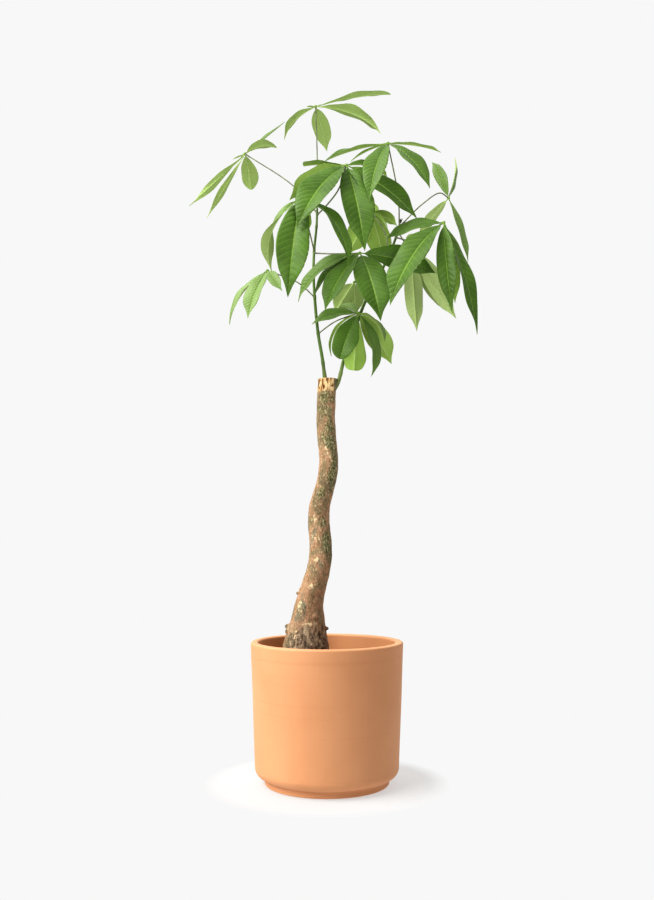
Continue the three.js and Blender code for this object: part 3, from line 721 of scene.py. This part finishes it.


# ---------------------------------------------------------------- leaves
# Each leaf: its petiole's bends and radius, its hub, the way its upper side faces, its pale share
# (a painted glow that lightens backlit and washed-out leaflets), and its leaflets. A leaflet has its
# tip, its width, and where they differ from the common ones: its own facing, rise (arch as a share
# of its length), sway (sideways bend), twist (degrees along the blade), belly, taper and pale share.
LEAVES = {
    "crown": {
        "petiole": {"radius": 1.2, "path": [[-17, 4, 952], [-17, 12, 1050], [-20, 20, 1150]]},
        "hub": [-20, 20, 1150],
        "face": [0, 0.25, 1],
        "pale": 0.6,
        "leaflets": [
            {"tip": [115, 60, 1192], "width": 30, "rise": 0.04, "twist": 30, "belly": 1.7, "taper": 0.75,
             "face": [-0.2, 0.1, 1]},
            {"tip": [92, -10, 1088], "width": 34, "rise": 0.12, "belly": 1.2, "face": [0.2, 0.3, 1]},
            {"tip": [0, 90, 1098], "width": 31, "face": [0, 1, 0.8]},
            {"tip": [-75, 20, 1090], "width": 28, "rise": 0.13, "belly": 1.2, "face": [-0.2, 0.1, 1]},
            {"tip": [-36, 22, 1151], "width": 5, "rise": 0, "face": [0, 0, 1]},
        ],
    },
    "far_left": {
        "petiole": {"radius": 1.2, "path": [[-17, 4, 952], [-60, 28, 1010], [-148, 70, 1085]]},
        "hub": [-148, 70, 1085],
        "face": [-0.3, 0.4, 1],
        "pale": 0.6,
        "leaflets": [
            {"tip": [-80, 130, 1172], "width": 14, "rise": 0, "face": [-0.3, -0.35, 0.7]},
            {"tip": [-90, 60, 1092], "width": 30, "rise": 0.16, "taper": 0.7, "face": [0, 0.1, 1]},
            {"tip": [-140, 120, 1037], "width": 31, "rise": 0.12, "belly": 1.1, "taper": 0.65,
             "face": [0, 1, 0.9]},
            {"tip": [-214, 60, 963], "width": 14, "rise": 0, "belly": 1.6, "taper": 1.3,
             "face": [-0.5, 0.5, 0.3]},
            {"tip": [-250, 90, 995], "width": 15, "rise": 0, "belly": 1.2, "taper": 1.1, "twist": 160,
             "face": [-0.3, 0.3, 0.6]},
            {"tip": [-170, 74, 1077], "width": 4, "rise": 0, "face": [0, 0, 1]},
        ],
    },
    "upper_front": {
        "petiole": {"radius": 1.5, "path": [[-17, 3, 948], [0, -8, 962], [20, -30, 982], [32, -60, 1011]]},
        "hub": [32, -60, 1011],
        "face": [0, -0.75, 0.65],
        "leaflets": [
            {"tip": [-47, -130, 881], "width": 60, "face": [-0.35, -0.9, 0.3]},
            {"tip": [60, -115, 848], "width": 51},
            {"tip": [67, -95, 939], "width": 26, "rise": 0.03, "face": [-1, 0.2, 0.2]},
            {"tip": [149, -60, 919], "width": 46, "rise": 0.07, "face": [0.3, -0.9, 0.5]},
            {"tip": [104, -10, 1008], "width": 34, "rise": 0.12, "face": [0, -0.8, 1]},
            {"tip": [-64, -20, 966], "width": 44, "rise": 0.08, "face": [-0.5, 0.6, 0.6]},
            {"tip": [-40, -5, 1032], "width": 30, "rise": 0.03, "belly": 1.3, "taper": 0.6,
             "face": [0, -0.15, 1]},
        ],
    },
    "upper_right": {
        "petiole": {"radius": 1.3, "path": [[125, 15, 928], [122, -8, 975], [102, -50, 1053]]},
        "hub": [102, -50, 1053],
        "face": [0, -0.6, 0.8],
        "pale": 0.3,
        "leaflets": [
            {"tip": [40, -30, 1030], "width": 14, "rise": 0.06, "face": [-0.35, -0.28, 1]},
            {"tip": [-4, 30, 1055], "width": 34, "rise": 0.04, "twist": -60, "belly": 1.6, "taper": 0.8,
             "face": [0.1, -0.3, 1]},
            {"tip": [67, -115, 931], "width": 40, "face": [-0.3, -0.9, 0.3]},
            {"tip": [168, -80, 964], "width": 38, "face": [0.4, -0.8, 0.5]},
            {"tip": [198, 10, 1063], "width": 24, "rise": 0.04, "face": [0.1, -0.36, 0.9]},
        ],
    },
    "back_right": {
        "petiole": {"radius": 1.3,
                    "path": [[127, 15, 933], [170, 50, 985], [205, 78, 1015], [221, 90, 1010]]},
        "hub": [221, 90, 1010],
        "face": [0.4, 0.4, 0.6],
        "pale": 0.6,
        "leaflets": [
            {"tip": [195, 120, 1090], "width": 22, "rise": 0.05, "sway": 0.05, "face": [-0.5, -1, 0]},
            {"tip": [241, 140, 1107], "width": 18, "rise": 0.05, "face": [1, -0.25, 0]},
            {"tip": [168, 125, 945], "width": 22, "rise": 0.05, "pale": 0.9, "face": [-0.5, 1, 0.5]},
            {"tip": [252, 70, 885], "width": 18, "rise": 0.04, "pale": 0.7, "face": [0.6, -0.9, 0.3]},
        ],
    },
    "right_front": {
        "petiole": {"radius": 1.5, "path": [[119, 15, 912], [145, -25, 895], [189, -90, 903]]},
        "hub": [189, -90, 903],
        "face": [0, -0.8, 0.6],
        "leaflets": [
            {"tip": [95, -75, 879], "width": 40, "rise": 0.07, "face": [0, -0.75, 0.8]},
            {"tip": [97, -150, 752], "width": 56, "face": [-0.5, -0.8, 0.3]},
            {"tip": [194, -140, 742], "width": 30, "face": [-0.3, -1, 0.2]},
            {"tip": [238, -105, 716], "width": 34, "rise": 0.07, "sway": 0.04, "face": [0.7, -0.8, 0.3]},
            {"tip": [208, -70, 775], "width": 26, "rise": 0.06, "face": [0.5, 0.8, 0.3]},
        ],
    },
    "centre_front": {
        "petiole": {"radius": 1.4, "path": [[-22, 0, 880], [10, -35, 868], [54, -65, 860]]},
        "hub": [54, -65, 860],
        "face": [0, -0.8, 0.6],
        "leaflets": [
            {"tip": [-3, -120, 751], "width": 46, "rise": 0.07, "face": [-0.5, -0.8, 0.3]},
            {"tip": [84, -125, 733], "width": 54, "face": [0.1, -0.9, 0.3]},
            {"tip": [180, -45, 832], "width": 48, "rise": 0.08, "face": [0, -0.9, 0.3]},
            {"tip": [-48, -40, 785], "width": 34, "rise": 0.17, "pale": 0.6, "face": [-0.4, -0.7, 0.6]},
            {"tip": [-22, -50, 790], "width": 28, "rise": 0.12, "pale": 0.4, "face": [-0.4, -0.6, 0.7]},
        ],
    },
    "left_front": {
        "petiole": {"radius": 1.4, "path": [[-22, 0, 884], [-32, -40, 915], [-44, -80, 947]]},
        "hub": [-44, -80, 947],
        "face": [0, -0.8, 0.6],
        "leaflets": [
            {"tip": [-61, -135, 768], "width": 52, "face": [0, -1, 0.3]},
            {"tip": [-91, -50, 833], "width": 27, "rise": 0.2, "twist": 210, "pale": 0.8,
             "face": [-0.9, -0.5, 0.3]},
            {"tip": [-31, -58, 897], "width": 22, "face": [0, 1, 0.3]},
            {"tip": [34, -126, 816], "width": 36, "rise": 0.17, "face": [0.5, -0.6, 0.7]},
        ],
    },
    "low_left": {
        "petiole": {"radius": 1.3, "path": [[-21, 0, 803], [-50, 5, 830], [-103, 20, 855]]},
        "hub": [-103, 20, 855],
        "face": [-0.3, -0.6, 0.7],
        "leaflets": [
            {"tip": [-168, 20, 760], "width": 26, "rise": 0.12, "pale": 1, "face": [-0.8, -0.5, 0.5]},
            {"tip": [-133, -20, 762], "width": 34, "rise": 0.08, "pale": 1, "face": [-0.4, -0.8, 0.4]},
            {"tip": [-75, -30, 806], "width": 20, "rise": 0.08, "pale": 0.9, "face": [-0.3, -0.9, 0.4]},
        ],
    },
    "low_centre": {
        "petiole": {"radius": 1.3, "path": [[-15, 0, 740], [15, -20, 757], [52, -32, 768]]},
        "hub": [52, -32, 768],
        "face": [0, -0.7, 0.7],
        "leaflets": [
            {"tip": [-25, -45, 746], "width": 30, "pale": 0.4, "face": [0, -0.8, 0.8]},
            {"tip": [21, -75, 682], "width": 41, "belly": 1.1, "taper": 0.55, "face": [-0.1, -0.9, 0.3]},
            {"tip": [45, -22, 673], "width": 37, "belly": 1.2, "taper": 0.45, "face": [0, 1, 0.2]},
            {"tip": [72, -55, 657], "width": 20, "rise": 0.05, "sway": -0.14, "pale": 0.5,
             "face": [0.5, -0.8, 0.3]},
            {"tip": [109, 0, 688], "width": 42, "pale": 0.3, "face": [0.3, 0.9, 0.5]},
            {"tip": [94, -60, 713], "width": 30, "rise": 0.15, "pale": 0.6, "face": [0.6, -0.2, 0.6]},
            {"tip": [22, 5, 792], "width": 26, "rise": 0.05, "pale": 0.8, "face": [0, -0.6, 1]},
            {"tip": [7, 5, 702], "width": 20, "rise": 0.2, "face": [-1, 0.1, 0.3]},
        ],
    },
    "behind_centre": {
        "petiole": {"radius": 1.2, "path": [[85, 6, 834], [70, 25, 842], [48, 50, 843]]},
        "hub": [48, 50, 843],
        "face": [0, 1, 0.3],
        "pale": 0.7,
        "leaflets": [
            {"tip": [52, 90, 795], "width": 32},
            {"tip": [13, 90, 795], "width": 36},
        ],
    },
    "behind_right": {
        "petiole": {"radius": 1.3, "path": [[123, 15, 922], [140, 60, 915], [154, 110, 923]]},
        "hub": [154, 110, 923],
        "face": [0, 1, 0.5],
        "pale": 1,
        "leaflets": [
            {"tip": [165, 130, 773], "width": 34, "rise": 0.03},
            {"tip": [177, 170, 971], "width": 30},
            {"tip": [231, 130, 803], "width": 44, "rise": 0.05, "face": [0.3, 0.9, 0.3]},
            {"tip": [232, 90, 787], "width": 30},
        ],
    },
    "behind_upper": {
        "petiole": {"radius": 1.3, "path": [[107, 10, 880], [100, 45, 935], [79, 70, 977]]},
        "hub": [79, 70, 977],
        "face": [0, 0.8, 0.5],
        "pale": 0.2,
        "leaflets": [
            {"tip": [126, 80, 955], "width": 26, "face": [0, 0.4, 1]},
            {"tip": [108, 60, 945], "width": 16, "face": [1, 0, 1]},
            {"tip": [109, 120, 895], "width": 44},
            {"tip": [40, 110, 912], "width": 44},
            {"tip": [78, 110, 1016], "width": 30},
        ],
    },
}

HUB_RADIUS = 3.2
LEAFLET_STALK = 0.05
FOLD = 14  # degrees that each half of a blade rises from its midrib
WAVINESS = 0.012  # height of the wave in the margin, as a share of the length
BELLY = 0.9
TAPER = 0.95
BLADE_ROWS = 84
BLADE_COLUMNS = (0, 0.03, 0.075, 0.16, 0.28, 0.41, 0.55, 0.69, 0.82, 0.93, 1)
BLADE_THICKNESS = 0.45
STALK_RADIUS = 1.0
VEINS = 16


def blade_share(along, belly, taper):
    """The blade's width at each place along it, as a share of its greatest width."""
    share = np.clip((along - LEAFLET_STALK) / (1 - LEAFLET_STALK), 0, 1)
    widest = belly / (belly + taper)
    drip = 1 - 0.45 * smoothstep(0.6, 0.9, taper) * smoothstep(0.72, 0.95, share)
    return drip * share ** belly * (1 - share) ** taper / (widest ** belly * (1 - widest) ** taper)


def blade(leaf, leaflet, seed):
    """One leaflet: a thin quilted blade on its own short stalk, closed all round."""
    hub, tip = np.array(leaf["hub"], float), np.array(leaflet["tip"], float)
    chord = tip - hub
    length = np.linalg.norm(chord)
    ahead = chord / length
    face = np.array(leaflet.get("face", leaf["face"]), float)
    face = unit(face - ahead * (face @ ahead))
    bow = (face * leaflet.get("rise", 0.1) + np.cross(ahead, face) * leaflet.get("sway", 0)) * length * 1.33
    bends = (hub, hub + 0.33 * chord + bow, hub + 0.72 * chord + bow, tip)
    chance = np.random.default_rng(seed)
    phases = chance.uniform(0, math.tau, 6)
    waviness = WAVINESS * length
    columns = np.array([-v for v in BLADE_COLUMNS[:0:-1]] + list(BLADE_COLUMNS))
    wide = np.abs(columns)
    lift = math.tan(math.radians(FOLD))
    along_list = 1 - (1 - np.linspace(0, 1, BLADE_ROWS)) ** 1.15
    shares = blade_share(along_list, leaflet.get("belly", BELLY), leaflet.get("taper", TAPER))
    widths = leaflet["width"] * shares / 2
    points, veins, across = [], [], []
    for along, half in zip(along_list, widths):
        rest = 1 - along
        weights = (rest ** 3, 3 * rest * rest * along, 3 * rest * along * along, along ** 3)
        middle = sum(w * b for w, b in zip(weights, bends))
        pulls = (rest * rest, 2 * rest * along, along * along)
        tangent = unit(sum(w * (bends[i + 1] - bends[i]) for i, w in enumerate(pulls)))
        turn = math.radians(leaflet.get("twist", 0) * (along - 0.3))
        upper = turned(unit(face - tangent * (face @ tangent)), tangent, turn)
        beside = np.cross(tangent, upper)
        flat = smoothstep(LEAFLET_STALK * 0.6, LEAFLET_STALK * 1.9, along)
        half = max(half, 0.35)
        uneven = 1 + 0.03 * math.sin(along * 9 + phases[0]) * columns + 0.02 * np.sin(along * 17 + phases[1])
        reach = columns * half * uneven
        slant = (0.65 * wide + 0.25 * wide ** 2) * half / length
        lines = VEINS * ((along - LEAFLET_STALK) / (1 - LEAFLET_STALK) - slant)
        lines = np.where(columns < 0, lines + 0.35, lines)
        bulge = np.abs(np.sin(lines * math.pi)) ** 0.8 * np.sqrt(np.clip(4 * wide * (1 - wide), 0, 1))
        size = min(1, half / 14)
        side_phase = 0.8 * np.sign(columns) + phases[3] * (columns > 0)
        ruffle = np.sin(along * math.tau * 2.2 + phases[2] + side_phase)
        rise = lift * half * (1.35 * wide - 0.35 * wide ** 2) + 1.1 * size * bulge
        rise += waviness * wide ** 2.2 * ruffle * smoothstep(0.05, 0.3, along) * size
        groove = 0.55 * size * np.exp(-(wide / 0.05) ** 2)
        thick = BLADE_THICKNESS * (1 - wide ** 6) + 0.02
        rib = (1.5 - 1.1 * along) * np.exp(-(wide * half / 1.1) ** 2) + 0.28 * size * (1 - bulge) * (1 - wide)
        top_flat = rise - groove
        under_flat = rise - thick - rib
        arc_angle = np.arcsin(np.clip(columns, -1, 1))
        round_across = STALK_RADIUS * columns
        round_up = STALK_RADIUS * np.cos(arc_angle)
        shift = round_across * (1 - flat) + reach * flat
        top = round_up * (1 - flat) + top_flat * flat
        under = -round_up * (1 - flat) + under_flat * flat
        under[[0, -1]] = top[[0, -1]] = (top[[0, -1]] + under[[0, -1]]) / 2
        points.append(middle + np.outer(shift, beside) + np.outer(top, upper))
        inner = slice(-2, 0, -1)
        points.append(middle + np.outer(shift[inner], beside) + np.outer(under[inner], upper))
        veins += [lines, lines[inner]]
        across += [wide * flat, wide[inner] * flat]
    ring = 2 * len(columns) - 2
    faces = ring_faces(BLADE_ROWS, ring)
    quads = np.arange(len(faces)) % ring
    sides = list((quads >= len(columns) - 1).astype(int))
    faces += [tuple(range(ring))[::-1], tuple(range((BLADE_ROWS - 1) * ring, BLADE_ROWS * ring))]
    return np.vstack(points), faces, sides + [0, 0], np.concatenate(veins), np.concatenate(across)


def knot(centre, radius):
    """The swelling where the leaflets meet."""
    rows, sides = 10, 16
    points = []
    for row in range(rows):
        angle = math.pi * (row + 0.5) / rows
        for side in range(sides):
            turn = side / sides * math.tau
            ring = math.sin(angle)
            points.append((ring * math.cos(turn), ring * math.sin(turn), -math.cos(angle)))
    faces = ring_faces(rows, sides)
    faces += [tuple(range(sides))[::-1], tuple(range((rows - 1) * sides, rows * sides))]
    return np.array(points) * radius + centre, faces


def make_leaf(place, leaf, seed):
    points, faces = knot(np.array(leaf["hub"], float), HUB_RADIUS * 0.85)
    sides = [0] * len(faces)
    points, veins, across = [points], [np.zeros(len(points))], [np.zeros(len(points))]
    count = len(points[0])
    # Every point carries its leaflet's pale share, a painted glow that the blade material mixes in.
    tones = [np.full(count, leaf.get("pale", 0.2))]
    for number, leaflet in enumerate(leaf["leaflets"]):
        skin, quads, which, lines, wide = blade(leaf, leaflet, seed * 20 + number)
        faces += [tuple(index + count for index in quad) for quad in quads]
        sides += which
        points.append(skin)
        veins.append(lines)
        across.append(wide)
        tones.append(np.full(len(skin), leaflet.get("pale", leaf.get("pale", 0.2))))
        count += len(skin)
    thing = add_object(
        f"palmate_{place}", np.vstack(points) * MM, faces, [LEAF_UPPER, LEAF_UNDER], sides,
        vein=np.concatenate(veins), across=np.concatenate(across), tone=np.concatenate(tones),
    )
    stand_for(thing, f"leaf_{place}")


make_pot()
make_soil()
make_trunk()
for place, shoot in SHOOTS.items():
    make_shoot(place, shoot)
make_bud()
for seed, (place, leaf) in enumerate(LEAVES.items()):
    make_petiole(place, leaf)
    make_leaf(place, leaf, seed)


# ---------------------------------------------------------------- floor, light and background
FLOOR_ALBEDO = 214
BACKDROP = 0.66
SKY = 0.2


def floor_material():
    """White paper. It takes the pot's shadow near the pot and is evenly bright further out."""
    n = Nodes("floor")
    far = n.add("VectorMath", Vector=n.place())
    far.operation = "LENGTH"
    share = n.math("MAXIMUM", n.mask(far.outputs["Value"], 0.115, 0.2), 0.6)
    n.finish(linear(*[FLOOR_ALBEDO] * 3), 0.9, 0.0)
    glow = n.add("Emission", Color=(*[BACKDROP] * 3, 1))
    both = n.add("MixShader", Fac=share)
    n.feed(both.inputs[1], n.shader.outputs[0])
    n.feed(both.inputs[2], glow.outputs[0])
    n.feed(n.output.inputs["Surface"], both.outputs[0])
    return n.material


floor = add_object(
    "floor", [(-8, -6, 0), (8, -6, 0), (8, 10, 0), (-8, 10, 0)], [(0, 1, 2, 3)], [floor_material()],
)


def add_sun(name, toward, strength, angle, colour=(1, 1, 1)):
    sun = bpy.data.lights.new(name, "SUN")
    sun.energy = strength
    sun.angle = math.radians(angle)
    sun.color = colour
    lamp = bpy.data.objects.new(name, sun)
    lamp.rotation_euler = Vector(toward).to_track_quat("Z", "Y").to_euler()
    bpy.context.scene.collection.objects.link(lamp)


add_sun("window", (-0.85, -0.38, 0.95), 3.2, 50, (1, 0.99, 0.975))
add_sun("skylight", (0.1, 0.75, 0.9), 1.2, 100)


def add_spot(name, place, target, power, cone):
    """A soft lamp that reaches the foliage and not the pot."""
    spot = bpy.data.lights.new(name, "SPOT")
    spot.energy = power
    spot.spot_size = math.radians(cone)
    spot.spot_blend = 0.7
    spot.shadow_soft_size = 0.35
    lamp = bpy.data.objects.new(name, spot)
    lamp.location = place
    toward = Vector(place) - Vector(target)
    lamp.rotation_euler = toward.to_track_quat("Z", "Y").to_euler()
    bpy.context.scene.collection.objects.link(lamp)


add_spot("foliage_fill", (0.35, -1.75, 0.8), (0.0, 0, 0.98), 42, 36)


def make_world():
    world = bpy.data.worlds.new("studio")
    world.use_nodes = True
    tree = world.node_tree
    back = tree.nodes["Background"]
    back.inputs["Color"].default_value = (1, 1, 1, 1)
    back.inputs["Strength"].default_value = SKY
    seen = tree.nodes.new("ShaderNodeBackground")
    seen.inputs["Color"].default_value = (*[BACKDROP] * 3, 1)
    seen.inputs["Strength"].default_value = 1
    path = tree.nodes.new("ShaderNodeLightPath")
    both = tree.nodes.new("ShaderNodeMixShader")
    tree.links.new(path.outputs["Is Camera Ray"], both.inputs[0])
    tree.links.new(back.outputs[0], both.inputs[1])
    tree.links.new(seen.outputs[0], both.inputs[2])
    tree.links.new(both.outputs[0], tree.nodes["World Output"].inputs["Surface"])
    bpy.context.scene.world = world


make_world()
